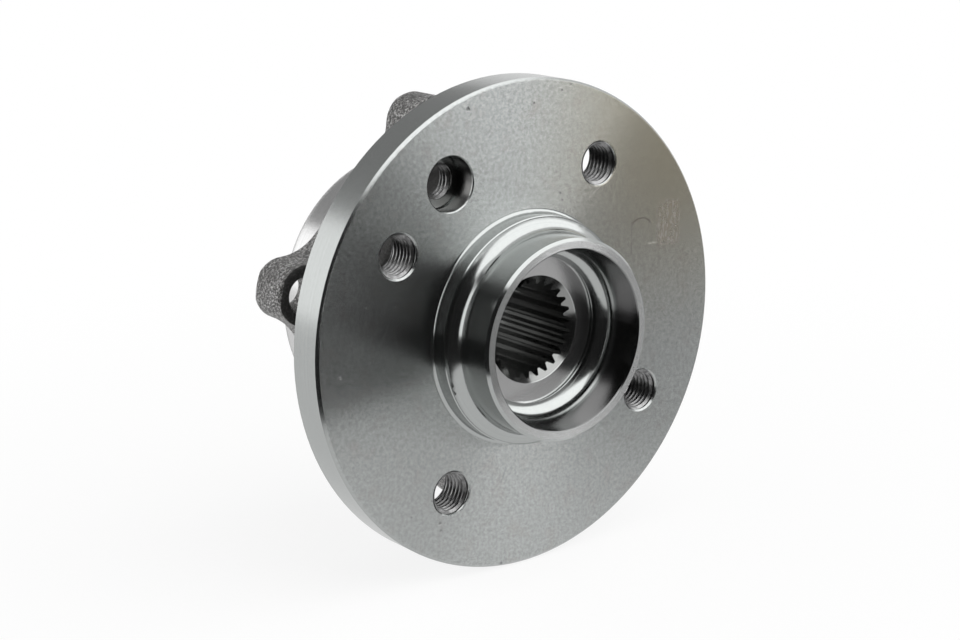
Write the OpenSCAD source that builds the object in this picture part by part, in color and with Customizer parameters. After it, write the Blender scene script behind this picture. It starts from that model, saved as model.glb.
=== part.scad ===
// Driven wheel hub unit: drive flange, two rows of balls and a flanged outer ring.
// The wheel side faces -Y, +Z is up, and the origin is the centre of the brake disc's seat.
// Each piece is drawn round its own z axis, with +z towards the wheel, and then laid along Y.
// So every z below is a distance from the disc's seat towards the wheel.

/* [Drive flange] */
// Outside diameter of the drive flange
flange_d = 137.5; // [128:0.5:150]
// Thickness of the drive flange
flange_t = 11.5; // [9:0.5:13]
// Chamfer on the front edge of the flange
flange_chamfer = 0.8; // [0.3:0.1:2]
// Chamfer on the back edge of the flange
flange_back_chamfer = 0.7; // [0.3:0.1:2]
// Radius between the flange's back face and the seal land
neck_r = 4; // [3:0.5:4.5]

/* [Wheel bolt holes] */
// Number of tapped holes for the wheel bolts
wheel_bolts = 4; // [3:1:6]
// Pitch circle diameter of the wheel bolts
wheel_pcd = 100; // [96:1:108]
// Major diameter of the wheel bolt thread
wheel_bolt_d = 12; // [10:1:14]
// Chamfer at both mouths of each wheel bolt hole
wheel_bolt_chamfer = 0.5; // [0.2:0.1:1]
// Angle of the first wheel bolt hole, from +X towards +Z
wheel_bolt_angle = 59; // [45:1:75]

/* [Disc screw hole] */
// Angle of the disc screw hole, on the wheel bolts' pitch circle
disc_screw_angle = 121; // [112:1:126]
// Major diameter of the disc screw thread
disc_screw_d = 10; // [6:1:11]
// Diameter of the counterbore for the screw's head
disc_screw_head_d = 15; // [13:0.5:17]
// Depth of the counterbore
disc_screw_head_t = 5.9; // [3:0.1:7]
// Chamfer at the mouth of the counterbore
disc_screw_chamfer = 0.3; // [0.1:0.1:0.6]

/* [Pilots] */
// Diameter of the pilot that centres the brake disc
disc_pilot_d = 64; // [62:0.5:68]
// Height of the disc pilot above the disc's seat
disc_pilot_h = 5.2; // [3.5:0.1:8]
// Radius at the foot of the disc pilot
pilot_foot_r = 1; // [0.3:0.1:1.5]
// Chamfer on the edge of the disc pilot
pilot_chamfer = 0.25; // [0.1:0.05:0.5]
// Width of the flat shelf on top of the disc pilot
pilot_shelf = 0.2; // [0.1:0.1:0.4]
// Diameter of the pilot that centres the wheel
wheel_pilot_d = 56; // [54:0.5:59]
// Height of the nose above the disc's seat
nose_h = 18.4; // [15:0.1:24]
// Chamfer round the nose
nose_chamfer = 0.75; // [0.3:0.05:1]

/* [Nut recess] */
// Diameter of the recess for the axle nut
recess_d = 50; // [47:0.5:51]
// Chamfer at the mouth of the recess
recess_chamfer = 0.3; // [0.2:0.1:0.6]
// Height of the nut's seat above the disc's seat
nut_seat_h = 3.3; // [1:0.1:5]
// Diameter of the nut's seat
nut_seat_d = 41.2; // [38:0.2:44]
// Height of the step round the nut's seat
nut_seat_step = 0.9; // [0.4:0.1:1.5]
// Width and depth of the relief groove round the nut's seat
nut_seat_groove = 0.35; // [0.2:0.05:0.6]

/* [Spline] */
// Number of internal spline teeth
spline_teeth = 26; // [18:1:32]
// Diameter across the tips of the internal teeth
spline_tip_d = 25; // [23:0.1:25.6]
// Diameter at the bottom of the spline grooves
spline_root_d = 27.8; // [27:0.1:29]
// Width of a groove at its bottom, as a share of the tooth pitch
groove_bottom_share = 0.25; // [0.2:0.05:0.4]
// Width of a groove between the tooth tips, as a share of the tooth pitch
groove_top_share = 0.8; // [0.6:0.05:0.85]
// Angle of one tooth's middle, from +X towards +Z
spline_angle = 23; // [0:1:40]
// Length of the splined part of the bore
spline_l = 44; // [30:1:50]
// Diameter at the mouth of the lead-in chamfer
spline_mouth_d = 30.3; // [29.5:0.1:33]
// Depth of the lead-in chamfer, down to the tooth tips
spline_lead = 2.1; // [1.5:0.1:3]

/* [Bearing] */
// Diameter of the balls
ball_d = 12.7; // [12:0.1:13]
// Number of balls in each row
balls = 13; // [10:1:13]
// Pitch circle diameter of both rows
ball_pcd = 60; // [59.5:0.5:61]
// Distance between the two rows
row_spacing = 20; // [19:0.5:22]
// Contact angle of both rows, from the plane of the balls
contact_angle = 38; // [30:1:40]
// Radius of the raceways as a share of the ball's diameter
conformity = 0.52; // [0.515:0.005:0.53]
// Clearance between a ball and its raceway along the line of contact
race_play = 0.05; // [0.02:0.01:0.1]
// Height of the raceway shoulders above the groove's bottom
shoulder_h = 4.4; // [4:0.1:4.6]
// Height of the low lands on the open sides of the raceways
land_h = 0.35; // [0.2:0.05:0.8]
// Diameter of the shaft under the inboard inner ring
shaft_d = 39.6; // [38:0.2:41]
// Chamfer on the inner ring's bore and edges
ring_chamfer = 0.8; // [0.4:0.1:1]
// Diameter of the rolled collar that holds the inner ring
collar_d = 49; // [47:0.5:51]
// Thickness of the rolled collar
collar_t = 5; // [4:0.5:6]

/* [Cages] */
// Clearance between a ball and its pocket
pocket_play = 0.2; // [0.1:0.05:0.25]
// How far a cage reaches past its balls at each side
cage_rim = 0.85; // [0.6:0.05:1]
// Width of each cage rim along the axle
cage_rim_w = 2.6; // [2:0.1:3]
// Radial thickness of each cage rim
cage_rim_t = 4; // [3.4:0.1:4.2]

/* [Outer ring] */
// Gap between the drive flange's back and the outer ring
ring_gap = 3.8; // [3.4:0.1:4.5]
// Outside diameter of the outboard barrel
barrel_d = 84; // [82:0.5:86]
// Chamfer on the front edge of the barrel
barrel_chamfer = 1.2; // [0.5:0.1:2]
// Outside diameter of the spigot that enters the knuckle
spigot_d = 82; // [80:0.5:84]
// Lead-in chamfer on the spigot
spigot_chamfer = 1.2; // [0.5:0.1:2]
// Diameter of the bore where the seals are pressed in
seal_seat_d = 75.2; // [74.4:0.2:76]

/* [Knuckle flange] */
// Distance from the disc's seat back to the knuckle face
knuckle_y = 43; // [41:0.5:45]
// Thickness of the knuckle flange
knuckle_t = 12.6; // [9:0.2:14]
// Diameter of the knuckle flange between the ears
knuckle_d = 94; // [92:0.5:98]
// Pitch circle diameter of the holes in the ears
ear_pcd = 106; // [104:0.5:112]
// Radius of each ear's rounded end
ear_r = 8.6; // [8:0.1:11]
// Radius that blends each ear into the flange
ear_blend_r = 16; // [8:1:20]
// Angle of the line that the ears mirror about, from +X towards +Z
ear_axis_angle = 133.2; // [120:0.1:150]
// Half the angle between the two ears of a pair
ear_half_angle = 35.1; // [34:0.1:45]
// Diameter of the hole in each ear
ear_hole_d = 10.4; // [8:0.1:12]
// Chamfer at both mouths of each ear's hole
ear_hole_chamfer = 0.5; // [0.3:0.1:1]
// Chamfer on the outer edges of the ears
ear_chamfer = 0.8; // [0.3:0.1:1.5]
// Radius between the barrel and the knuckle flange
knuckle_fillet_r = 2.5; // [1:0.5:3]

/* [Seals] */
// Thickness of the pressed steel seal parts
seal_sheet = 0.8; // [0.6:0.1:1]
// Width of the outboard seal
outboard_seal_w = 3.4; // [3:0.1:4]
// Width of the inboard cassette seal
inboard_seal_w = 4.8; // [4.4:0.1:6]
// How deep each seal sits inside the outer ring
seal_depth = 0.3; // [0.1:0.1:0.8]
// Gap between each seal and the cage next to it
seal_cage_gap = 0.6; // [0.4:0.1:1]
// Clearance between a seal lip and the steel that it runs on
lip_gap = 0.15; // [0.1:0.05:0.3]
// Thickness of the seal lips
lip_t = 0.9; // [0.7:0.1:1.1]
// Thickness of the magnetic encoder ring
encoder_t = 0.9; // [0.6:0.1:1.2]

/* [Hidden] */
function ball_name(row, i) = str(row, "_ball_", i < 10 ? "0" : "", i);

$fn = 96;
// How far a cutting or joining shape reaches past the face that it works on
over = 0.5;

flange_r = flange_d / 2;
wheel_pitch_r = wheel_pcd / 2;
disc_pilot_r = disc_pilot_d / 2;
wheel_pilot_r = wheel_pilot_d / 2;
recess_r = recess_d / 2;
nut_seat_r = nut_seat_d / 2;
nut_step_z = nut_seat_h + nut_seat_step;
recess_fillet_r = recess_r - nut_seat_r;
pilot_fillet_r = disc_pilot_r - pilot_chamfer - pilot_shelf - wheel_pilot_r;

spline_tip_r = spline_tip_d / 2;
spline_root_r = spline_root_d / 2;
spline_mouth_r = spline_mouth_d / 2;
plain_bore_r = spline_root_r + 0.4;

ball_r = ball_d / 2;
pitch_r = ball_pcd / 2;
race_r = conformity * ball_d;
race_shift = race_r - ball_r - race_play;
race_dr = race_shift * cos(contact_angle);
race_dz = race_shift * sin(contact_angle);
inner_bottom_r = pitch_r + race_dr - race_r;
outer_bottom_r = pitch_r - race_dr + race_r;
inner_land_r = inner_bottom_r + land_h;
outer_land_r = outer_bottom_r - land_h;
inner_shoulder_r = inner_bottom_r + shoulder_h;
outer_shoulder_r = outer_bottom_r - shoulder_h;
cage_half_w = ball_r + cage_rim;
shaft_r = shaft_d / 2;
collar_r = collar_d / 2;

// The stack along the axle, from the flange's back to the rolled collar
ring_front_z = -flange_t - ring_gap;
outboard_seal_z = ring_front_z - seal_depth;
outboard_web_z = outboard_seal_z - outboard_seal_w;
outboard_z = outboard_web_z - seal_cage_gap - cage_half_w;
inboard_z = outboard_z - row_spacing;
split_z = (outboard_z + inboard_z) / 2;
inboard_web_z = inboard_z - cage_half_w - seal_cage_gap;
slinger_back_z = inboard_web_z - inboard_seal_w;
encoder_back_z = slinger_back_z - encoder_t;
ring_back_z = encoder_back_z - seal_depth;
inner_ring_back_z = slinger_back_z - 0.2;
collar_z = inner_ring_back_z - collar_t;

barrel_r = barrel_d / 2;
spigot_r = spigot_d / 2;
seal_seat_r = seal_seat_d / 2;
seal_sleeve_r = seal_seat_r - seal_sheet;
knuckle_r = knuckle_d / 2;
knuckle_z = -knuckle_y;
knuckle_front_z = knuckle_z + knuckle_t;
ear_pitch_r = ear_pcd / 2;
ear_end_r = ear_pitch_r + ear_r;
ear_angles = [
    ear_axis_angle - ear_half_angle,
    ear_axis_angle + ear_half_angle,
    ear_axis_angle - ear_half_angle + 180,
    ear_axis_angle + ear_half_angle + 180
];

// Seal lips and slinger
seal_web_in_r = inner_shoulder_r + 3.5;
slinger_sleeve_r = inner_shoulder_r + seal_sheet;
slinger_end_r = seal_sleeve_r - 0.4;
slinger_web_z = slinger_back_z + seal_sheet;

module along_axle() {
    rotate([90, 0, 0]) children();
}

// A ring with the section given as [radius, z] points
module turned(points) {
    rotate_extrude() polygon(points);
}

// A rectangular section from radius r0 to r1 and from z0 up to z1
module section(r0, r1, z0, z1) {
    translate([r0, z0]) square([r1 - r0, z1 - z0]);
}

// Fills an inside corner of a section with a radius; side and up are 1 or -1
module corner_fillet(r, z, radius, side, up) {
    reach = radius + over;
    difference() {
        translate([r + (side > 0 ? -over : -radius), z + (up > 0 ? -over : -radius)]) square(reach);
        translate([r + side * radius, z + up * radius]) circle(radius);
    }
}

// A raceway groove with a true round section
module race_groove(r, z) {
    translate([0, 0, z]) rotate_extrude() translate([r, 0]) circle(race_r);
}

// A round hole from z0 down to z1 with a chamfer at each mouth
module hole(r, z0, z1, chamfer) {
    translate([0, 0, z1 - over]) cylinder(r = r, h = z0 - z1 + 2 * over);
    for (m = [[z0, 1], [z1, -1]]) {
        translate([0, 0, m[0]]) mirror([0, 0, m[1] > 0 ? 0 : 1])
            translate([0, 0, -chamfer]) cylinder(r1 = r, r2 = r + chamfer + over, h = chamfer + over);
    }
}

module at_polar(radius, angle) {
    rotate(angle) translate([radius, 0, 0]) children();
}

// Section of the flange, its pilots and its hollow shaft
module drive_flange_section() {
    polygon([
        [spline_tip_r, nut_seat_h],
        [spline_tip_r, collar_z],
        [collar_r - collar_t / 2, collar_z],
        [collar_r - collar_t / 2, inner_ring_back_z],
        [shaft_r, inner_ring_back_z],
        [shaft_r, split_z],
        [inner_land_r, split_z],
        [inner_land_r, outboard_z],
        [inner_shoulder_r, outboard_z],
        [inner_shoulder_r, -flange_t],
        [flange_r - flange_back_chamfer, -flange_t],
        [flange_r, -flange_t + flange_back_chamfer],
        [flange_r, -flange_chamfer],
        [flange_r - flange_chamfer, 0],
        [disc_pilot_r, 0],
        [disc_pilot_r, disc_pilot_h - pilot_chamfer],
        [disc_pilot_r - pilot_chamfer, disc_pilot_h],
        [wheel_pilot_r, disc_pilot_h],
        [wheel_pilot_r, nose_h - nose_chamfer],
        [wheel_pilot_r - nose_chamfer, nose_h],
        [recess_r + recess_chamfer, nose_h],
        [recess_r, nose_h - recess_chamfer],
        [recess_r, nut_step_z],
        [nut_seat_r, nut_step_z],
        [nut_seat_r, nut_seat_h]
    ]);
    corner_fillet(disc_pilot_r, 0, pilot_foot_r, 1, 1);
    corner_fillet(wheel_pilot_r, disc_pilot_h, pilot_fillet_r, 1, 1);
    corner_fillet(recess_r, nut_step_z, recess_fillet_r, -1, 1);
    corner_fillet(inner_shoulder_r, -flange_t, neck_r, 1, -1);
    translate([collar_r - collar_t / 2, inner_ring_back_z - collar_t / 2]) circle(collar_t / 2);
}

// One groove between two internal teeth, pointing along +X
module spline_groove() {
    bottom = 360 / spline_teeth * groove_bottom_share / 2;
    top = 360 / spline_teeth * groove_top_share / 2;
    polygon([
        [0, 0],
        [spline_tip_r * cos(top), -spline_tip_r * sin(top)],
        [spline_root_r * cos(bottom), -spline_root_r * sin(bottom)],
        [spline_root_r * cos(bottom), spline_root_r * sin(bottom)],
        [spline_tip_r * cos(top), spline_tip_r * sin(top)]
    ]);
}

module spline_bore() {
    teeth_z = nut_seat_h - spline_l;
    pitch_angle = 360 / spline_teeth;
    translate([0, 0, teeth_z]) linear_extrude(spline_l + over) {
        for (i = [0 : spline_teeth - 1]) rotate(spline_angle + (i + 0.5) * pitch_angle) spline_groove();
    }
    turned([
        [0, nut_seat_h + over],
        [0, collar_z - over],
        [plain_bore_r + 2, collar_z - over],
        [plain_bore_r, collar_z + 2],
        [plain_bore_r, teeth_z],
        [spline_tip_r, teeth_z + plain_bore_r - spline_tip_r],
        [spline_tip_r, nut_seat_h - spline_lead],
        [spline_mouth_r, nut_seat_h],
        [spline_mouth_r, nut_seat_h + over]
    ]);
}

module drive_flange() {
    groove_in_r = nut_seat_r - nut_seat_groove;
    color("silver") along_axle() difference() {
        rotate_extrude() drive_flange_section();
        race_groove(pitch_r + race_dr, outboard_z - race_dz);
        spline_bore();
        rotate_extrude() section(groove_in_r, nut_seat_r, nut_seat_h - nut_seat_groove, nut_seat_h + over);
        for (i = [0 : wheel_bolts - 1]) {
            at_polar(wheel_pitch_r, wheel_bolt_angle + i * 360 / wheel_bolts)
                hole(wheel_bolt_d / 2, 0, -flange_t, wheel_bolt_chamfer);
        }
        at_polar(wheel_pitch_r, disc_screw_angle) {
            hole(disc_screw_d / 2, -disc_screw_head_t, -flange_t, disc_screw_chamfer);
            hole(disc_screw_head_d / 2, 0, -disc_screw_head_t, disc_screw_chamfer);
        }
    }
}

module inner_ring() {
    color("lightsteelblue") along_axle() difference() {
        turned([
            [shaft_r + ring_chamfer, split_z],
            [inner_land_r, split_z],
            [inner_land_r, inboard_z],
            [inner_shoulder_r, inboard_z],
            [inner_shoulder_r, inner_ring_back_z + ring_chamfer],
            [inner_shoulder_r - ring_chamfer, inner_ring_back_z],
            [shaft_r, inner_ring_back_z],
            [shaft_r, split_z - ring_chamfer]
        ]);
        race_groove(pitch_r + race_dr, inboard_z + race_dz);
    }
}

// One ear pointing along +X: a round end, blended into the flange by two tangent arcs
module ear_outline() {
    root_l = knuckle_r + ear_blend_r;
    tip_l = ear_r + ear_blend_r;
    along = (ear_pitch_r * ear_pitch_r + root_l * root_l - tip_l * tip_l) / (2 * ear_pitch_r);
    aside = sqrt(root_l * root_l - along * along);
    difference() {
        polygon([[0, 0], [along, -aside], [ear_pitch_r, 0], [along, aside]]);
        for (side = [-1, 1]) translate([along, side * aside]) circle(ear_blend_r);
    }
    translate([ear_pitch_r, 0]) circle(ear_r);
}

module knuckle_flange() {
    intersection() {
        translate([0, 0, knuckle_z]) linear_extrude(knuckle_t) {
            circle(knuckle_r);
            for (angle = ear_angles) rotate(angle) ear_outline();
        }
        turned([
            [0, knuckle_z],
            [ear_end_r - ear_chamfer, knuckle_z],
            [ear_end_r, knuckle_z + ear_chamfer],
            [ear_end_r, knuckle_front_z - ear_chamfer],
            [ear_end_r - ear_chamfer, knuckle_front_z],
            [0, knuckle_front_z]
        ]);
    }
}

// Everything inside the outer ring: seal seats, lands and the shoulder between the rows
module outer_ring_bore() {
    turned([
        [0, ring_front_z + over],
        [seal_seat_r + over, ring_front_z + over],
        [seal_seat_r, ring_front_z],
        [seal_seat_r, outboard_web_z],
        [outer_land_r, outboard_web_z],
        [outer_land_r, outboard_z],
        [outer_shoulder_r, outboard_z],
        [outer_shoulder_r, inboard_z],
        [outer_land_r, inboard_z],
        [outer_land_r, inboard_web_z],
        [seal_seat_r, inboard_web_z],
        [seal_seat_r, ring_back_z],
        [seal_seat_r + over, ring_back_z - over],
        [0, ring_back_z - over]
    ]);
    race_groove(pitch_r - race_dr, outboard_z + race_dz);
    race_groove(pitch_r - race_dr, inboard_z - race_dz);
}

module outer_ring() {
    color("dimgray") along_axle() difference() {
        union() {
            rotate_extrude() {
                polygon([
                    [outer_shoulder_r - 2, ring_front_z],
                    [barrel_r - barrel_chamfer, ring_front_z],
                    [barrel_r, ring_front_z - barrel_chamfer],
                    [barrel_r, knuckle_z + over],
                    [spigot_r, knuckle_z + over],
                    [spigot_r, ring_back_z + spigot_chamfer],
                    [spigot_r - spigot_chamfer, ring_back_z],
                    [outer_shoulder_r - 2, ring_back_z]
                ]);
                corner_fillet(barrel_r, knuckle_front_z, knuckle_fillet_r, 1, 1);
            }
            knuckle_flange();
        }
        outer_ring_bore();
        for (angle = ear_angles) {
            at_polar(ear_pitch_r, angle) hole(ear_hole_d / 2, knuckle_front_z, knuckle_z, ear_hole_chamfer);
        }
    }
}

// A cage is a slanted ring with a round pocket for each ball.
// open is 1 or -1: the side where the outer ring has its low land.
module cage(z, open) {
    rim_z = cage_half_w;
    step_z = cage_half_w - cage_rim_w;
    big_r = pitch_r + cage_rim_t + 0.6;
    small_r = pitch_r - cage_rim_t - 0.4;
    along_axle() translate([0, 0, z]) mirror([0, 0, open > 0 ? 0 : 1]) difference() {
        turned([
            [big_r - cage_rim_t, rim_z],
            [big_r, rim_z],
            [big_r, step_z],
            [small_r + cage_rim_t, -rim_z],
            [small_r, -rim_z],
            [small_r, -step_z]
        ]);
        for (i = [1 : balls]) at_polar(pitch_r, i * 360 / balls) sphere(ball_r + pocket_play);
    }
}

module outboard_cage() {
    color("darkgoldenrod") cage(outboard_z, 1);
}

module inboard_cage() {
    color("darkgoldenrod") cage(inboard_z, -1);
}

module ball(z, i) {
    color("gainsboro") along_axle() translate([0, 0, z]) at_polar(pitch_r, i * 360 / balls) sphere(ball_r);
}

// Section of a seal lip from its root to its tip, both given as [radius, z].
// The tip is its last point, so that the lip ends just short of the steel.
module lip(root, tip) {
    along = (tip - root) / norm(tip - root);
    aside = [-along[1], along[0]] * lip_t / 2;
    shoulder = tip - along * lip_t / 2;
    polygon([root - aside, shoulder - aside / 2, tip, shoulder + aside / 2, root + aside]);
}

module outboard_seal_case() {
    color("darkgray") along_axle() rotate_extrude() {
        section(seal_sleeve_r, seal_seat_r, outboard_web_z, outboard_seal_z);
        section(seal_web_in_r, seal_seat_r, outboard_web_z, outboard_web_z + seal_sheet);
    }
}

// Rubber bonded to the case, with one lip on the seal land and two on the flange's neck and back
module outboard_seal_lips() {
    root_z = outboard_web_z + seal_sheet;
    top_z = root_z + lip_t;
    inner_r = seal_web_in_r - lip_t;
    neck = [inner_shoulder_r + neck_r, -flange_t - neck_r];
    neck_lip = neck + (neck_r - lip_gap) * [cos(112), sin(112)];
    back_lip_r = neck[0] + 3;
    color("black") along_axle() rotate_extrude() {
        section(inner_r, seal_sleeve_r, root_z, top_z);
        section(inner_r, seal_web_in_r, outboard_web_z, top_z);
        lip([inner_r + lip_t / 2, outboard_web_z + lip_t / 2], [inner_shoulder_r + lip_gap, outboard_web_z]);
        lip([inner_r + lip_t, top_z - lip_t / 2], neck_lip);
        lip([back_lip_r, top_z - lip_t / 2], [back_lip_r + 1.2, -flange_t - lip_gap]);
    }
}

module inboard_seal_case() {
    color("darkgray") along_axle() rotate_extrude() {
        section(seal_sleeve_r, seal_seat_r, slinger_back_z, inboard_web_z);
        section(seal_web_in_r, seal_seat_r, inboard_web_z - seal_sheet, inboard_web_z);
    }
}

// Rubber bonded to the case, with one lip on the slinger's sleeve and one on its web
module inboard_seal_lips() {
    root_z = inboard_web_z - seal_sheet;
    top_z = root_z - lip_t;
    inner_r = seal_web_in_r - lip_t;
    web_lip_r = (seal_web_in_r + slinger_end_r) / 2;
    color("black") along_axle() rotate_extrude() {
        section(inner_r, seal_sleeve_r, top_z, root_z);
        section(inner_r, seal_web_in_r, top_z, inboard_web_z);
        lip([inner_r + lip_t / 2, top_z + lip_t / 2], [slinger_sleeve_r + lip_gap, top_z - lip_t / 2]);
        lip([web_lip_r, top_z + lip_t / 2], [web_lip_r + 0.7, slinger_web_z + lip_gap]);
    }
}

module inboard_slinger() {
    color("lightgray") along_axle() rotate_extrude() {
        section(inner_shoulder_r, slinger_sleeve_r, slinger_back_z, inboard_web_z - over);
        section(inner_shoulder_r, slinger_end_r, slinger_back_z, slinger_web_z);
    }
}

module encoder_ring() {
    color("darkslategray") along_axle() rotate_extrude() {
        section(slinger_sleeve_r + 1.5, slinger_end_r, encoder_back_z, slinger_back_z);
    }
}

drive_flange();
outer_ring();
inner_ring();
outboard_cage();
inboard_cage();
outboard_seal_case();
outboard_seal_lips();
inboard_seal_case();
inboard_seal_lips();
inboard_slinger();
encoder_ring();
for (i = [1 : balls]) {
    ball(outboard_z, i);
    ball(inboard_z, i);
}
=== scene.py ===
# %% [markdown]
# # A wheel hub, dressed for its portrait
#
# The hub arrives as finished solids: a drive flange on two rows of balls, inside an outer ring
# that bolts to the steering knuckle. This notebook leaves those solids as they are. It gives each
# one its real finish, cuts the threads that the solids leave out, and sets up a small studio.
# Lengths are in metres, -Y points to the wheel, and +Z is up.

import math

import bmesh
import bpy
from mathutils import Matrix, Vector


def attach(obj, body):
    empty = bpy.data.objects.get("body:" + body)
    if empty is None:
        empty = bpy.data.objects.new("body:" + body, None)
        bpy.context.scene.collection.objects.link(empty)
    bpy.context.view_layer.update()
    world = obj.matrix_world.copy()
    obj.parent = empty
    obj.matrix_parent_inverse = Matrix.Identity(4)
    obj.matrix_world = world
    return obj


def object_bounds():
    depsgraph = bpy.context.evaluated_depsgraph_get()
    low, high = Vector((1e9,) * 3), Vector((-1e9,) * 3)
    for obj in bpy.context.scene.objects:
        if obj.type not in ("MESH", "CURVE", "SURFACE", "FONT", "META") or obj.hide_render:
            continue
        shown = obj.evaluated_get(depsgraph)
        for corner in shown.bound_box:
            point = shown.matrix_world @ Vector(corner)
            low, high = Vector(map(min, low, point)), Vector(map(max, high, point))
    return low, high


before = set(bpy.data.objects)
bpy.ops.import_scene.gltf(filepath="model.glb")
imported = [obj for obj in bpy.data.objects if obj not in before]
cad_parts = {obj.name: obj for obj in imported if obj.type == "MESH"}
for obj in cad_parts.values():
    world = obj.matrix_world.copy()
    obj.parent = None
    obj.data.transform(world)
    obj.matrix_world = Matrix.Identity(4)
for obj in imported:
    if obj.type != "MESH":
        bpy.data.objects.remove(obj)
cad_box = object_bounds()
scene = bpy.context.scene
scene.view_settings.view_transform = "Standard"

# %% [markdown]
# ## The camera
#
# A lens can be guessed by eye, but a round flange is unforgiving: its ellipse shows at once when
# the angle is off. So the camera was fitted to the rims and holes beforehand. It stands to the
# left of the axle, a little above it, with a long lens, and it is level. A camera looks along its
# own -Z, so its matrix is just the three directions right, up and back, side by side.

# %% Set up the camera
VIEW_AZIMUTH = math.radians(-37.66)
VIEW_HEIGHT = math.radians(14.53)
LENS_MM, SENSOR_MM = 76.49, 36
EYE_BACK, EYE_RIGHT, EYE_UP = 0.56183, -0.0127, 0.00197

right = Vector((math.cos(VIEW_AZIMUTH), math.sin(VIEW_AZIMUTH), 0))
back = Vector((
    math.sin(VIEW_AZIMUTH) * math.cos(VIEW_HEIGHT),
    -math.cos(VIEW_AZIMUTH) * math.cos(VIEW_HEIGHT),
    math.sin(VIEW_HEIGHT),
))
up = back.cross(right)
eye = EYE_BACK * back + EYE_RIGHT * right + EYE_UP * up

camera = bpy.data.objects.new("camera", bpy.data.cameras.new("camera"))
camera.data.lens = LENS_MM
camera.data.sensor_width = SENSOR_MM
camera.matrix_world = Matrix.Translation(eye) @ Matrix((right, up, back)).transposed().to_4x4()
scene.collection.objects.link(camera)
scene.camera = camera
print("camera at", [round(v, 4) for v in eye])

# %% [markdown]
# ## Shader maths as plain expressions
#
# A finish such as turned steel is a small formula on radius and depth. Wiring that formula node by
# node hides it. The class below wraps one socket, so that `radius * 2 + 1` adds the Math nodes by
# itself. Every other kind of node comes from `add`, which sets the node up first and then fills
# its sockets with numbers or with other wires.

# %% The wire class
class Wire:
    """One output socket of a shader node."""

    def __init__(self, tree, socket=None):
        self.tree = tree
        self.socket = socket

    def add(self, kind, settings=None, sockets=None, output=0):
        """A new node: first its settings, then a number or a wire for each of its sockets."""
        node = self.tree.nodes.new("ShaderNode" + kind)
        for name, value in (settings or {}).items():
            setattr(node, name, value)
        for name, value in (sockets or {}).items():
            if isinstance(value, Wire):
                self.tree.links.new(value.socket, node.inputs[name])
            else:
                node.inputs[name].default_value = value
        return Wire(self.tree, node.outputs[output])

    def math(self, operation, *values):
        sockets = {i: value for i, value in enumerate((self,) + values)}
        return self.add("Math", {"operation": operation}, sockets)

    def __add__(self, other):
        return self.math("ADD", other)

    __radd__ = __add__

    def __mul__(self, other):
        return self.math("MULTIPLY", other)

    __rmul__ = __mul__

    def __sub__(self, other):
        return self.math("SUBTRACT", other)

    def __rsub__(self, other):
        return (self * -1) + other

    def step(self, low, high):
        """0 below low, 1 above high, and a smooth rise between them."""
        settings = {"interpolation_type": "SMOOTHSTEP"}
        sockets = {"Value": self, "From Min": low, "From Max": high}
        return self.add("MapRange", settings, sockets)

    def band(self, low, high, soft):
        """1 between low and high, and 0 outside them."""
        return self.step(low - soft, low) * (1 - self.step(high, high + soft))


# %% [markdown]
# ## A finish, and what most finishes need
#
# Each material starts from the same few wires: where the point lies on the piece, how far it is
# from the axle, and how far along the axle. Object coordinates move with the piece, so a stain
# stays on its piece when the hub turns.

# %% Helpers that most finishes share
COLOUR_OUTPUT = 2  # a Mix node has one output for each kind of value


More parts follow.
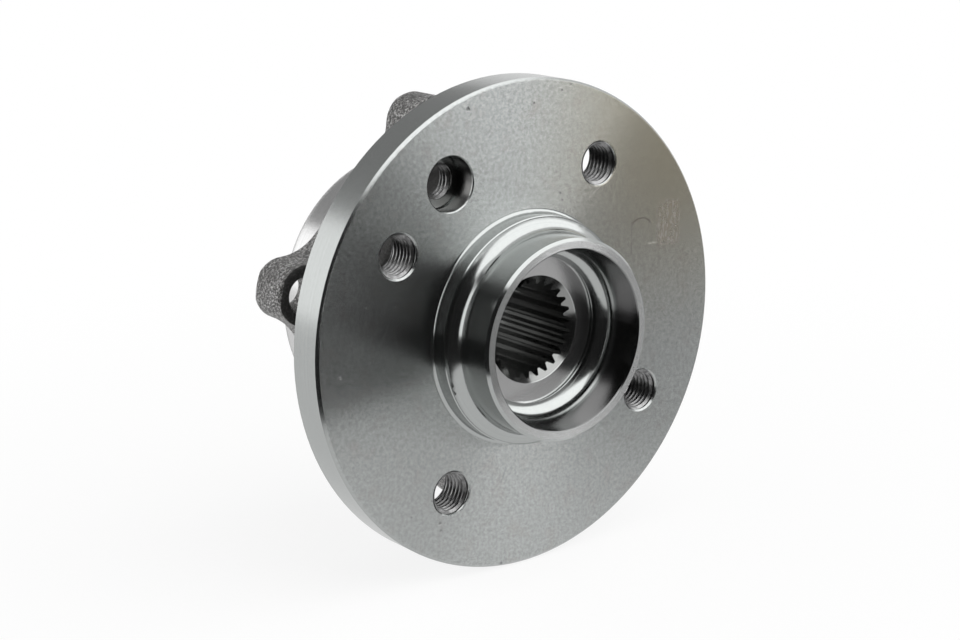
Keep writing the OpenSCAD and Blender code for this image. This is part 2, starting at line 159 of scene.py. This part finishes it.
class Finish:
    """A new material with its Principled shader and the wires that its formulas start from."""

    def __init__(self, name, **constants):
        self.material = bpy.data.materials.new(name)
        self.material.use_nodes = True
        self.tree = self.material.node_tree
        self.shader = self.tree.nodes["Principled BSDF"]
        for socket, value in constants.items():
            self.shader.inputs[socket.replace("_", " ")].default_value = value
        start = Wire(self.tree)
        self.point = start.add("TexCoord", output="Object")
        self.x = start.add("SeparateXYZ", sockets={0: self.point}, output="X")
        self.y = start.add("SeparateXYZ", sockets={0: self.point}, output="Y")
        self.z = start.add("SeparateXYZ", sockets={0: self.point}, output="Z")
        self.radius = (self.x * self.x + self.z * self.z).math("SQRT")
        facing = start.add("TexCoord", output="Normal")
        along_axle = start.add("SeparateXYZ", sockets={0: facing}, output="Y")
        self.flat = along_axle.math("ABSOLUTE").step(0.90, 0.98)

    def noise(self, size, detail=3.0, roughness=0.55, point=None):
        """Soft cloudy noise from 0 to 1 whose blobs are about `size` metres across."""
        sockets = {"Scale": 1 / size, "Detail": detail, "Roughness": roughness}
        sockets["Vector"] = point or self.point
        return self.point.add("TexNoise", sockets=sockets, output="Fac")

    def rings(self, pitch, detail=2.0):
        """Noise that changes only along the turned profile, as a lathe tool leaves it."""
        along = (self.radius + self.y * 0.83) * (1 / pitch)
        sockets = {"W": along, "Scale": 1.0, "Detail": detail, "Roughness": 0.6}
        return self.point.add("TexNoise", {"noise_dimensions": "1D"}, sockets, "Fac")

    def away_from(self, x, z):
        """Distance from the line that runs along the axle through x and z."""
        aside, above = self.x - x, self.z - z
        return (aside * aside + above * above).math("SQRT")

    def within(self, distance, edge, soft):
        """1 where a distance is below its edge, 0 beyond it, and soft on either side."""
        return 1 - distance.step(edge - soft, edge + soft)

    def scratch(self, x0, z0, x1, z1, half_width):
        """1 on a thin straight mark from one point of the face to another."""
        length = math.hypot(x1 - x0, z1 - z0)
        ux, uz = (x1 - x0) / length, (z1 - z0) / length
        along = (self.x - x0) * ux + (self.z - z0) * uz
        aside = (self.x - x0) * uz - (self.z - z0) * ux
        tapered = along.band(0, length, length * 0.3)
        return tapered * (1 - aside.math("ABSOLUTE").step(half_width * 0.3, half_width))

    def blend(self, share, colour_a, colour_b):
        """colour_a where share is 0, colour_b where it is 1."""
        sockets = {"Factor": share, "A": colour_a, "B": colour_b}
        return self.point.add("Mix", {"data_type": "RGBA"}, sockets, COLOUR_OUTPUT)

    def tipped(self, amount):
        """The surface's own normal, tipped at random to and fro along the radius."""
        outward = self.point.add("CombineXYZ", sockets={"X": self.x, "Z": self.z})
        outward = self.point.add("VectorMath", {"operation": "NORMALIZE"}, {0: outward})
        turned = {"vector_type": "VECTOR", "convert_from": "OBJECT", "convert_to": "WORLD"}
        outward = self.point.add("VectorTransform", turned, {0: outward})
        chance = self.point.add("TexWhiteNoise", sockets={"Vector": self.point}, output="Value")
        tip = {0: outward, "Scale": (chance * 2 - 1) * amount}
        tip = self.point.add("VectorMath", {"operation": "SCALE"}, tip)
        straight = self.point.add("NewGeometry", output="Normal")
        both = self.point.add("VectorMath", {"operation": "ADD"}, {0: straight, 1: tip})
        return self.point.add("VectorMath", {"operation": "NORMALIZE"}, {0: both})

    def bump(self, height, depth, normal=None):
        """Relief from a height of 0 to 1 that stands `depth` metres tall."""
        sockets = {"Height": height, "Distance": depth, "Strength": 1.0}
        if normal:
            sockets["Normal"] = normal
        return self.point.add("Bump", sockets=sockets)

    def link(self, **wires):
        """Plug wires into the shader and hand over the finished material."""
        for socket, wire in wires.items():
            self.tree.links.new(wire.socket, self.shader.inputs[socket.replace("_", " ")])
        return self.material


def grey(value, warmth=0.0):
    """A neutral colour; a little warmth leans it to brown, a negative one to blue."""
    return (value * (1 + warmth), value, value * (1 - warmth), 1)


def cool_grey(value):
    """The faint green-blue cast of freshly cut steel."""
    return (value * 0.965, value, value * 0.985, 1)


# %% [markdown]
# ## Turned steel
#
# The drive flange is one forging, machined all over on a lathe. Its faces carry very fine circular
# tool marks. They are finer than a pixel, and they matter all the same: they spread each
# reflection out along the radius, which gives a turned face its soft fans of light and dark. A
# photograph of such a face could be painted on, but then the fans would not move with the light,
# and rings drawn wide enough to see would show as stripes. So each point's normal is tipped to and
# fro at random along the radius, and only two faint sets of rings are left as relief.
#
# The same steel looks different from place to place. Its holes are painted dark, as painted shade,
# so the finish has to know where they are: one disc screw hole and four wheel bolt holes, on one
# circle.

# %% The holes in the flange, as seen from the wheel
HOLE_CIRCLE = 0.050
WHEEL_BOLT_ANGLES = [math.radians(59 + 90 * i) for i in range(4)]
DISC_SCREW_ANGLE = math.radians(121)


def on_circle(angle):
    """x and z of a hole's axis."""
    return HOLE_CIRCLE * math.cos(angle), HOLE_CIRCLE * math.sin(angle)


print("holes at", [[round(v, 4) for v in on_circle(a)] for a in WHEEL_BOLT_ANGLES + [DISC_SCREW_ANGLE]])

# %% [markdown]
# ## The surfaces of the drive flange
#
# One material covers the whole flange, since it is one piece. Parts of it could be painted as
# separate materials, but the borders would then follow the mesh. Masks on radius and depth follow
# the drawing instead, and each is 1 on one surface and 0 everywhere else.

# %% The flange's masks
class FlangeSteel(Finish):
    """Turned steel that knows the drive flange's surfaces."""

    def __init__(self, name):
        super().__init__(name, Metallic=1.0)
        depth, radius = self.y, self.radius
        # The disc's seat at depth 0, outside the disc pilot
        self.face = depth.band(-0.0002, 0.0002, 0.0002) * radius.step(0.0330, 0.0334)
        # The flat front end of the wheel pilot
        self.nose_rim = self.flat * (1 - depth.step(-0.0100, -0.0090))
        # The flat at the bottom of the recess, up to its relief groove
        seat_depth = depth.band(-0.0036, -0.0029, 0.0002)
        self.nut_seat = self.flat * seat_depth * self.within(radius, 0.0207, 0.0001)
        # The recess's straight wall near its mouth
        self.recess = radius.band(0.0246, 0.0252, 0.0003) * depth.band(-0.0178, -0.0100, 0.0016)
        # The splined bore, and the flange's outermost edge
        self.bore = self.within(radius, 0.0150, 0.0002)
        self.rim = radius.step(0.0680, 0.0686)
        # All five holes behind their mouths, but not the flange's flat back
        in_hole = self.within(self.away_from(*on_circle(DISC_SCREW_ANGLE)), 0.0077, 0.0001)
        for angle in WHEEL_BOLT_ANGLES:
            bolt_hole = self.within(self.away_from(*on_circle(angle)), 0.0062, 0.0001)
            in_hole = in_hole.math("MAXIMUM", bolt_hole)
        self.in_hole = in_hole * depth.step(0.0003, 0.0009) * (1 - self.flat * 0.8)


# %% [markdown]
# ## Marks of handling
#
# The real face isn't perfect. It has small dark pits and fine scratches, a yellowish film of old
# oil towards the upper right, and there a brown stain with a faint arch beside it. A random
# texture alone would never put them in the right places, so the larger ones are listed one by one.

# %% Pits and scratches
# Small dark pits: x, z and radius in millimetres
PITS = [
    (-20.0, 62.3, 0.8), (15.2, 65.9, 0.5), (12.0, 64.5, 0.5), (2.3, 61.9, 0.5),
    (11.7, 36.2, 0.45), (12.4, 34.1, 0.4), (-26.3, -18.4, 0.9), (-57.1, 38.6, 0.7),
    (-53.0, 43.8, 0.6), (-39.5, -46.7, 0.6), (-29.9, -50.6, 0.8), (-29.6, -52.7, 0.6),
    (-32.6, -43.5, 0.4), (-8.6, -67.3, 0.8), (-61.6, -3.8, 0.5), (55.4, 21.7, 0.4),
]
# Fine scratches: from x, z to x, z, and half the width, all in millimetres
SCRATCHES = [
    (-8.6, -43.0, -7.4, -40.4, 0.25), (22.9, 34.3, 26.2, 36.4, 0.25), (45.0, 17.7, 47.8, 17.6, 0.20),
]


def make_dents(steel):
    """1 in each pit and, more faintly, in each scratch."""
    often = steel.noise(0.0012, 2.0, 0.5).step(0.740, 0.770)
    dents = often * steel.noise(0.02, 2.0).step(0.45, 0.6) * 0.5
    wobble = (steel.noise(0.0007) - 0.5) * 0.0008
    for x, z, r in PITS:
        away = steel.away_from(x / 1000, z / 1000) + wobble
        dents = dents.math("MAXIMUM", 1 - away.step(r * 0.0003, r * 0.0009))
    for scratch in SCRATCHES:
        dents = dents.math("MAXIMUM", steel.scratch(*[size / 1000 for size in scratch]) * 0.4)
    return dents * steel.face


print("pits:", len(PITS), "scratches:", len(SCRATCHES))

# %% The film, the stain and the arch
def make_stain(steel):
    """The stain, and the light lines rubbed into it."""
    worn = steel.noise(0.004, 3.0, 0.6).step(0.35, 0.65) * 0.5 + 0.5
    stain = steel.x.band(0.0496, 0.0556, 0.0025) * steel.z.band(0.0180, 0.0275, 0.0035)
    upright = steel.point.add("Mapping", sockets={0: steel.point, "Scale": (1300, 1, 380)})
    rubbed = steel.noise(1.0, 2.0, point=upright).step(0.50, 0.60)
    return stain * worn * steel.face, rubbed


def make_arch(steel):
    """A thin arch with one leg."""
    aside, above = steel.x - 0.0419, (steel.z - 0.0230) * 1.5
    arch = (aside * aside + above * above).math("SQRT").band(0.0034, 0.0038, 0.0003)
    arch = arch * steel.z.step(0.0225, 0.0245)
    leg = steel.scratch(0.0383, 0.0245, 0.0383, 0.0165, 0.00035)
    return arch.math("MAXIMUM", leg * 0.5) * steel.face


# %% [markdown]
# ## The flange's colour and gloss
#
# Steel is a metal, so its colour is the colour of its reflections. It starts as a cool grey with
# large clouds and a fine mottle, and each layer is then laid over it in turn. The pits, smudges,
# film and stain are the steel's own marks; the holes, the splined bore and the recess wall are
# painted dark as painted shade, and the nut seat and the pilot's end are painted pale as a painted
# highlight. The gloss follows the same masks: turned faces are duller than the pilots.

# %% Turned steel
def make_hub_steel(tone=0.42):
    steel = FlangeSteel("hub_steel")
    face, in_hole = steel.face, steel.in_hole
    mottle = (steel.noise(0.0011, 5.0, 0.75) - 0.5) * (face * 0.9 + 0.1) + 0.5
    smudge = steel.noise(0.0070, 4.0, 0.65).step(0.50, 0.75) * face
    film = steel.x.step(-0.010, 0.055) * steel.z.step(-0.020, 0.045) * face
    stain, rubbed = make_stain(steel)
    dents = make_dents(steel)
    # The nut seat and half of the pilot's flat end: machined steel, painted paler as a painted
    # highlight.
    bare_and_painted_sheen = steel.nut_seat.math("MAXIMUM", steel.nose_rim * 0.5)

    colour = steel.blend(steel.noise(0.030, 4.0), cool_grey(tone * 0.93), cool_grey(tone * 1.07))
    layers = [
        (mottle.step(0.42, 0.60) * 0.85, cool_grey(tone * 0.79)),
        (steel.rings(0.00060).step(0.35, 0.65) * 0.3, cool_grey(tone * 0.84)),
        (smudge * 0.55, grey(tone * 0.78, 0.03)),
        (film * 0.85, (tone * 0.72, tone * 0.65, tone * 0.48, 1)),
        (stain * 0.45, grey(tone * 0.50, 0.22)),
        (stain * rubbed * 0.6, grey(tone * 1.15, 0.05)),
        (make_arch(steel) * 0.4, grey(tone * 0.35, 0.10)),
        # Painted shade: the walls of the five holes are painted near black.
        (in_hole * 0.8, grey(tone * 0.20, 0.04)),
        # Painted shade: the splined bore is painted darker, and the recess wall darker still.
        (steel.bore * 0.6, grey(tone * 0.35, 0.02)),
        (steel.recess, grey(tone * 0.30)),
        # Painted highlight: the nut seat and the pilot's end are painted pale.
        (bare_and_painted_sheen, grey(tone * 1.75)),
        (dents * 0.6, grey(tone * 0.35)),
    ]
    for share, layer in layers:
        colour = steel.blend(share, colour, layer)

    rough = 0.155 + face * 0.03 + steel.nut_seat * 0.05 + steel.rim * 0.07 + in_hole * 0.10
    rough = rough + (mottle - 0.5) * 0.06 + stain * 0.15
    relief = steel.tipped((face + steel.nose_rim * 0.7) * 0.36)
    relief = steel.bump(steel.rings(0.00030), 0.000006, relief)
    relief = steel.bump(steel.rings(0.0013, 3.0), 0.000006, relief)
    relief = steel.bump(dents * -1, 0.00010, relief)
    return steel.link(Base_Color=colour, Roughness=rough, Normal=relief)


hub_steel = make_hub_steel()
print("made", hub_steel.name, "with", len(hub_steel.node_tree.nodes), "nodes")

# %% [markdown]
# ## Forged steel
#
# The outer ring keeps its black forging skin where no tool touched it: on the ears and the barrel.
# Scale and shot blasting leave it dark, dull and grainy, with bright specks where the skin is worn.
# On the flat faces and on the barrel the skin is painted darker still, as painted shade where the
# drive flange shades them.
# The spigot, the face against the knuckle and the bore are ground bright, and the round edge of the
# knuckle flange is turned. The two finishes meet at machined edges, so one mask on depth and radius
# parts them. The skin's edges are soft: a Bevel node rounds how they shade, and the solid stays.

# %% The outer ring's forged skin
FLANGE_FRONT = 0.0304  # how far behind the disc's seat the knuckle flange begins


def make_forged_steel():
    steel = Finish("forged_steel")
    turned_rim = steel.y.step(FLANGE_FRONT, 0.0305) * steel.within(steel.radius, 0.04715, 0.00005)
    ground = steel.y.step(0.04290, 0.04298).math("MAXIMUM", turned_rim * (1 - steel.flat))
    inside = steel.within(steel.radius, 0.03805, 0.00005)
    front = steel.within(steel.y, 0.01535, 0.00005) * (1 - inside)
    bright = ground.math("MAXIMUM", inside).math("MAXIMUM", front)
    specks = steel.noise(0.00065, 4.0, 0.8)
    patches = steel.noise(0.006, 4.0, 0.6)
    skin = steel.blend(specks.step(0.45, 0.62), grey(0.055, 0.02), grey(0.62, 0.01))
    skin = steel.blend(patches.step(0.35, 0.7) * 0.5, skin, grey(0.10, 0.03))
    barrel = 1 - steel.y.step(0.0300, FLANGE_FRONT)
    # Painted shade: the flat faces and the barrel are painted near black, where the drive flange shades
    # them.
    skin = steel.blend(steel.flat.math("MAXIMUM", barrel) * 0.9, skin, grey(0.05, 0.02))
    machined = steel.blend(steel.rings(0.0006), grey(0.52), grey(0.60))
    colour = steel.blend(bright, skin, machined)
    rough = 0.50 + (specks - 0.5) * 0.3 - bright * 0.30
    metal = bright * 0.2 + 0.8
    rounded = steel.point.add("Bevel", {"samples": 6}, {"Radius": 0.0022})
    grain = (specks * 0.7 + steel.noise(0.0012, 3.0) * 0.8) * (1 - bright)
    relief = steel.bump(grain, 0.00045, rounded)
    relief = steel.bump(steel.rings(0.0003) * bright, 0.000008, relief)
    return steel.link(Base_Color=colour, Roughness=rough, Metallic=metal, Normal=relief)


forged_steel = make_forged_steel()
print("made", forged_steel.name, "with", len(forged_steel.node_tree.nodes), "nodes")

# %% [markdown]
# ## Bearing steel, cages and seals
#
# The inner ring is ground, the balls are lapped to a mirror, and the pressed seal parts are rolled
# sheet. They differ in tone, gloss and the size of their marks, so one function makes all the metal
# ones. The cages are glass-filled nylon, and the lips and the encoder are rubber: dull, with a soft
# mottle, so a second function makes those. Nearly all of them are hidden, but a cut shows them.

# %% Ground and pressed steel, nylon and rubber
def make_ring_metal(name, tone, roughness, pitch, depth, warmth=0.0):
    metal = Finish(name, Metallic=1.0)
    marks = metal.rings(pitch)
    clouds = metal.noise(0.008, 3.0)
    colour = metal.blend(clouds, grey(tone * 0.92, warmth), grey(tone * 1.06, warmth))
    rough = (clouds - 0.5) * 0.08 + (marks - 0.5) * 0.06 + roughness
    return metal.link(Base_Color=colour, Roughness=rough, Normal=metal.bump(marks, depth))


def make_dull(name, dark, light, roughness, grain, depth):
    dull = Finish(name)
    mottle = dull.noise(grain, 4.0, 0.6)
    colour = dull.blend(mottle, dark, light)
    rough = (mottle - 0.5) * 0.15 + roughness
    return dull.link(Base_Color=colour, Roughness=rough, Normal=dull.bump(mottle, depth))


NYLON_DARK, NYLON_LIGHT = (0.55, 0.47, 0.30, 1), (0.66, 0.58, 0.40, 1)
RUBBER_DARK, RUBBER_LIGHT = grey(0.016), grey(0.030)
ENCODER_DARK, ENCODER_LIGHT = grey(0.022, 0.1), grey(0.040, 0.1)
FINISHES = {
    "hub_steel": hub_steel,
    "forged_steel": forged_steel,
    "ring_steel": make_ring_metal("ring_steel", 0.52, 0.20, 0.00025, 0.000004),
    "ball_steel": make_ring_metal("ball_steel", 0.68, 0.05, 0.004, 0.000001),
    "seal_steel": make_ring_metal("seal_steel", 0.40, 0.34, 0.0005, 0.000006, 0.02),
    "slinger_steel": make_ring_metal("slinger_steel", 0.50, 0.28, 0.0004, 0.000005),
    "cage_polyamide": make_dull("cage_polyamide", NYLON_DARK, NYLON_LIGHT, 0.5, 0.0008, 0.00002),
    "seal_rubber": make_dull("seal_rubber", RUBBER_DARK, RUBBER_LIGHT, 0.62, 0.0007, 0.00003),
    "encoder_rubber": make_dull("encoder_rubber", ENCODER_DARK, ENCODER_LIGHT, 0.55, 0.0006, 0.00002),
}
print("finishes:", ", ".join(FINISHES))

# %% [markdown]
# ## Dress the solids
#
# Each solid is one piece of one material, so it takes one finish, and its name says which.

# %% Give each node its finish
ONE_OF_A_KIND = {
    "drive_flange": "hub_steel", "outer_ring": "forged_steel", "inner_ring": "ring_steel",
    "inboard_slinger": "slinger_steel", "encoder_ring": "encoder_rubber",
}


def finish_of(node):
    if node.startswith(("outboard_ball", "inboard_ball")):
        return "ball_steel"
    if node.endswith("cage"):
        return "cage_polyamide"
    if node.endswith("seal_case"):
        return "seal_steel"
    if node.endswith("seal_lips"):
        return "seal_rubber"
    return ONE_OF_A_KIND[node]


for name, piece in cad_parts.items():
    piece.data.materials.clear()
    piece.data.materials.append(FINISHES[finish_of(name)])
print("dressed", len(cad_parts), "nodes")

# %% [markdown]
# ## Cut the threads
#
# The wheel bolts screw straight into the flange, so its holes are tapped. The solid has each hole
# at the thread's outer diameter with a plain wall. A bump could fake the thread, but from an angle
# the ridges hide one another, and only real shape does that. So one ridge profile is swept along a
# helix: a 60 degree tooth, as wide as the pitch less an eighth at its root, and flat at its crest.
# The ridge shrinks into the wall over its first and last half turn, as a tap leaves it.

# %% Sweep one thread
PITCH = 0.0015
SIDES = 56  # straight pieces in one turn of the helix


def tooth_profile(pitch):
    """Height above the wall and place along the axle of the tooth's corners."""
    height, sunk = 0.5413 * pitch, 0.03 * pitch
    root, crest = 0.4375 * pitch, 0.125 * pitch
    return [(-sunk, -root), (0, -root), (height, -crest), (height, crest), (0, root), (-sunk, root)]


def make_thread(name, angle, major_d, y_front, y_back):
    """A helical ridge on a hole's wall, from one depth to another."""
    turns = (y_back - y_front) / PITCH
    steps = int(turns * SIDES)
    x, z = on_circle(angle)
    centre = Vector((x, 0, z))
    profile = tooth_profile(PITCH)
    mesh = bmesh.new()
    rows = []
    for i in range(steps + 1):
        turn = i / SIDES
        fade = min(1.0, 2 * turn + 0.02, 2 * (turns - turn) + 0.02)
        a = 2 * math.pi * turn
        outward = Vector((math.cos(a), 0, math.sin(a)))
        row = []
        for height, aside in profile:
            r = major_d / 2 - (height * fade if height > 0 else height)
            y = min(max(y_front + turn * PITCH + aside * fade, y_front), y_back)
            row.append(mesh.verts.new(centre + outward * r + Vector((0, y, 0))))
        rows.append(row)
    for this, after in zip(rows, rows[1:]):
        for j in range(len(profile)):
            k = (j + 1) % len(profile)
            mesh.faces.new((this[j], this[k], after[k], after[j]))
    mesh.faces.new(rows[0])
    mesh.faces.new(list(reversed(rows[-1])))
    bmesh.ops.recalc_face_normals(mesh, faces=mesh.faces[:])
    data = bpy.data.meshes.new(name)
    mesh.to_mesh(data)
    mesh.free()
    thread = bpy.data.objects.new(name, data)
    scene.collection.objects.link(thread)
    return thread


# %% [markdown]
# ## Thread the five holes
#
# Each ridge turns with the hub, so it rides on that body. Oil and chips have darkened the threads,
# which a mottled, duller steel of their own shows better than the flange's finish would.

# %% Thread all five holes
def make_thread_steel():
    steel = Finish("thread_steel", Metallic=1.0, Roughness=0.34)
    oil = steel.noise(0.0020, 4.0, 0.65)
    colour = steel.blend(oil.step(0.35, 0.65), grey(0.13), grey(0.30))
    return steel.link(Base_Color=colour, Normal=steel.bump(oil, 0.00008))


thread_steel = make_thread_steel()
threads = []
for i, angle in enumerate(WHEEL_BOLT_ANGLES):
    threads.append(make_thread(f"wheel_bolt_thread_{i + 1}", angle, 0.012, 0.0004, 0.0111))
threads.append(make_thread("disc_screw_thread", DISC_SCREW_ANGLE, 0.010, 0.0062, 0.0112))
for thread in threads:
    thread.data.materials.append(thread_steel)
    for polygon in thread.data.polygons:
        polygon.use_smooth = True
    thread.data.set_sharp_from_angle(angle=math.radians(25))
    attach(thread, "hub")
print("threads:", len(threads), "faces each:", len(threads[0].data.polygons))

# %% [markdown]
# ## The studio
#
# Bare steel has hardly a colour of its own: it shows what stands round it. The light grey parts of
# this hub mirror a pale floor and one large softbox overhead, and the dark parts mirror the unlit
# room in front of it. So the studio needs dark cards as much as it needs light.
#
# The floor has to do two things: keep the hub's soft shadow, and fade into the white background.
# A plain white floor in even light would come out grey. So near the hub seven tenths of what is
# seen of it is its own white glow, and farther off all of it. As light on the hub that glow counts
# only half, or the steel would turn pale as well.

# %% A sheet of points
def make_sheet(name, rows):
    """A sheet through rows of points, all rows equally long."""
    mesh = bmesh.new()
    verts = [[mesh.verts.new(point) for point in row] for row in rows]
    for low, high in zip(verts, verts[1:]):
        for j in range(len(low) - 1):
            mesh.faces.new((low[j], low[j + 1], high[j + 1], high[j]))
    data = bpy.data.meshes.new(name)
    mesh.to_mesh(data)
    mesh.free()
    sheet = bpy.data.objects.new(name, data)
    scene.collection.objects.link(sheet)
    return sheet


# %% Floor
def seen_rays(start):
    """1 for rays that a viewer or a reflection sees, 0 for rays that only carry light."""
    camera_ray, glossy_ray, clear_ray = [
        start.add("LightPath", output=f"Is {kind} Ray") for kind in ("Camera", "Glossy", "Transmission")
    ]
    return camera_ray.math("MAXIMUM", glossy_ray).math("MAXIMUM", clear_ray)


def make_floor_material():
    material = bpy.data.materials.new("pale_floor")
    material.use_nodes = True
    tree = material.node_tree
    tree.nodes.remove(tree.nodes["Principled BSDF"])
    start = Wire(tree)
    seen = seen_rays(start)
    point = start.add("TexCoord", output="Object")
    distance = point.add("VectorMath", {"operation": "LENGTH"}, {0: point}, "Value")
    matt = start.add("BsdfDiffuse", sockets={"Color": grey(0.75)})
    glow = start.add("Emission", sockets={"Color": grey(1.0), "Strength": seen * 0.42})
    near = start.add("AddShader", sockets={0: matt, 1: glow})
    far = start.add("Emission", sockets={"Color": grey(1.0), "Strength": seen * 0.5 + 0.5})
    share = distance.step(0.02, 0.40) * 0.3 + 0.7
    lit = start.add("MixShader", sockets={0: share, 1: near, 2: far})
    clear = start.add("BsdfTransparent")
    below = start.add("NewGeometry", output="Backfacing")
    shown = start.add("MixShader", sockets={0: below, 1: lit, 2: clear})
    tree.links.new(shown.socket, tree.nodes["Material Output"].inputs["Surface"])
    return material


FLOOR_Z = cad_box[0].z - 0.0003
FLOOR_HALF = 6
floor_rows = [[(x, y, FLOOR_Z) for x in (-FLOOR_HALF, FLOOR_HALF)] for y in (-FLOOR_HALF, FLOOR_HALF)]
floor = make_sheet("floor", floor_rows)
floor.data.materials.append(make_floor_material())
print("floor at", round(FLOOR_Z, 4))

# %% [markdown]
# ## Cards
#
# The cards hang on a ring round the hub and are seen only in reflections. They cast no shadow,
# and the camera looks straight through them. The front card's upper edge was drawn to fit: where
# it ends is where the dark fan on the face ends. It turns paler to the right, and with it the face.
# A plain box would be easier to build, but its corners would show in the pilots.

# %% Places on a ring
def on_ring(azimuth, distance, height):
    a = math.radians(azimuth)
    return (distance * math.sin(a), -distance * math.cos(a), height)


def between(stops, place):
    """The value at a place along a list of (place, value) stops."""
    for (a, low), (b, high) in zip(stops, stops[1:]):
        if place <= b:
            return low + (high - low) * (place - a) / (b - a)
    return stops[-1][1]


# %% Card material
def make_card_material(name, dark, pale, from_azimuth, to_azimuth):
    """A card that turns from dark to pale as it goes round the hub to the right."""
    material = bpy.data.materials.new(name)
    material.use_nodes = True
    tree = material.node_tree
    tree.nodes.remove(tree.nodes["Principled BSDF"])
    point = Wire(tree).add("TexCoord", output="Object")
    x = point.add("SeparateXYZ", sockets={0: point}, output="X")
    y = point.add("SeparateXYZ", sockets={0: point}, output="Y")
    turned = x.math("ARCTAN2", y * -1)
    share = turned.step(math.radians(from_azimuth), math.radians(to_azimuth))
    sockets = {"Factor": share, "A": grey(dark), "B": grey(pale)}
    tone = point.add("Mix", {"data_type": "RGBA"}, sockets, COLOUR_OUTPUT)
    glow = point.add("Emission", sockets={"Color": tone, "Strength": 1.0})
    tree.links.new(glow.socket, tree.nodes["Material Output"].inputs["Surface"])
    return material


def hang_card(card, material):
    card.data.materials.append(material)
    for ray in ("camera", "diffuse", "transmission", "volume_scatter", "shadow"):
        setattr(card, "visible_" + ray, False)


# %% Hang three cards
CARD_DISTANCE = 0.90
CARD_FOOT = 0.138
# The front card's upper edge: azimuth and height above the horizon, in degrees
CARD_TOPS = [
    (-110, -6), (-75, -6), (-72, 40), (-50, 44), (-40, 41),
    (-20, 35), (0, 25), (15, 12), (20, -1), (60, -1),
]


def card_edge(azimuth, height_angle):
    return on_ring(azimuth, CARD_DISTANCE, CARD_DISTANCE * math.tan(math.radians(height_angle)))


front_angles = [-110 + 2.5 * i for i in range(69)]
front_card = make_sheet("front_card", [
    [on_ring(a, CARD_FOOT, FLOOR_Z + 0.001) for a in front_angles],
    [on_ring(a, CARD_DISTANCE, FLOOR_Z + 0.001) for a in front_angles],
    [card_edge(a, between(CARD_TOPS, a)) for a in front_angles],
])
hang_card(front_card, make_card_material("front_card", 0.018, 0.64, 14, 56))
left_angles = range(-120, -55, 5)
left_card = make_sheet("left_card", [[card_edge(a, e) for a in left_angles] for e in (46, 58)])
hang_card(left_card, make_card_material("left_card", 0.15, 0.4, -90, -60))
back_angles = range(115, 216, 5)
back_card = make_sheet("back_card", [[card_edge(a, e) for a in back_angles] for e in (25, 55)])
hang_card(back_card, make_card_material("back_card", 0.35, 0.35, 0, 1))
print("cards:", front_card.name, left_card.name, back_card.name)

# %% [markdown]
# ## Light
#
# The large softbox hangs over the right shoulder, turned so that its lower corner points at the
# hub. Its straight left edge is what ends the bright bands on the pilots so sharply. A smaller one
# on the left lights the flange's rim. A spot lamp could be as bright, but bare steel would show it
# as one hard dot. A wide lamp gives the broad soft highlight that a turned surface needs.

# %% Softboxes
def make_softbox(name, corner, along, across, radiance):
    """A rectangular lamp with one corner and two sides given; radiance 1 shows as white."""
    lamp = bpy.data.objects.new(name, bpy.data.lights.new(name, "AREA"))
    lamp.data.shape = "RECTANGLE"
    lamp.data.size, lamp.data.size_y = along.length, across.length
    lamp.data.energy = radiance * 4 * along.length * across.length
    x, y = along.normalized(), across.normalized()
    z = x.cross(y)
    middle = corner + along / 2 + across / 2
    if z.dot(middle) < 0:
        y, z = -y, -z
    lamp.matrix_world = Matrix.Translation(middle) @ Matrix((x, y, z)).transposed().to_4x4()
    lamp.visible_camera = False
    scene.collection.objects.link(lamp)
    return lamp


# Each softbox: a corner, the side along, the side across, and its radiance
SOFTBOXES = {
    "top_softbox": ((-0.81, -0.96, 1.13), (1.68, -0.15, -1.21), (0.42, 0.94, 0.60), 1.02),
    "left_softbox": ((-0.64, 1.24, -0.06), (-0.71, -1.59, 0), (0.27, -0.12, 0.80), 0.6),
}
for name, (corner, along, across, radiance) in SOFTBOXES.items():
    lamp = make_softbox(name, Vector(corner), Vector(along), Vector(across), radiance)
    print(name, round(lamp.data.energy, 2), "W")

# %% [markdown]
# ## The room behind
#
# The world fills the rest softly. It is white to the camera and to reflections, so the hub stands
# on plain white and its steel mirrors it, and as a light it has only a quarter of that strength.

# %% World
world = bpy.data.worlds.new("studio")
scene.world = world
world.use_nodes = True
start = Wire(world.node_tree)
strength = seen_rays(start) * 0.75 + 0.25
sky = start.add("Background", sockets={"Color": grey(1.0), "Strength": strength})
world.node_tree.links.new(sky.socket, world.node_tree.nodes["World Output"].inputs["Surface"])
print("world:", world.name)
